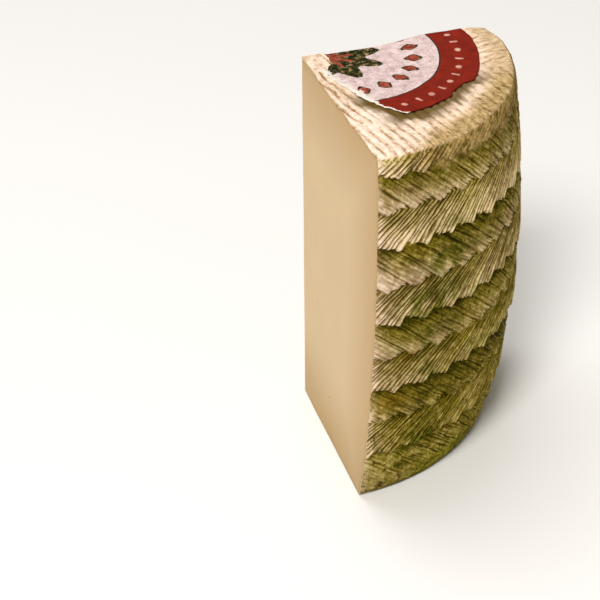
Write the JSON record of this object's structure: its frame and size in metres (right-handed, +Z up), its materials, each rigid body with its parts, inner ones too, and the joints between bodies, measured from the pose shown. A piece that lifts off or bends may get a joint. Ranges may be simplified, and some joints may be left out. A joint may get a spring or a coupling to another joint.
{
  "type": "manchego cheese quarter",
  "caption": "Quarter of an aged sheep's milk cheese with a plaited, pale olive rind, smooth cream cut faces and a torn round paper label on top.",
  "frame": {"origin": "on the base, under the middle of the bounding box", "axes": "+Z up along the height of the cheese, -Y towards the middle of the rind, the two knife cuts meet in a thin edge towards +Y"},
  "size_m": [0.107, 0.0734, 0.1216],
  "materials": {
    "cheese": "waxy smooth cream paste inside a dry, ridged, straw to olive rind",
    "paper": "thin matte printed paper with a torn white edge"
  },
  "bodies": {
    "root": {"wedge": "cheese", "label": "paper"}
  },
  "joints": []
}
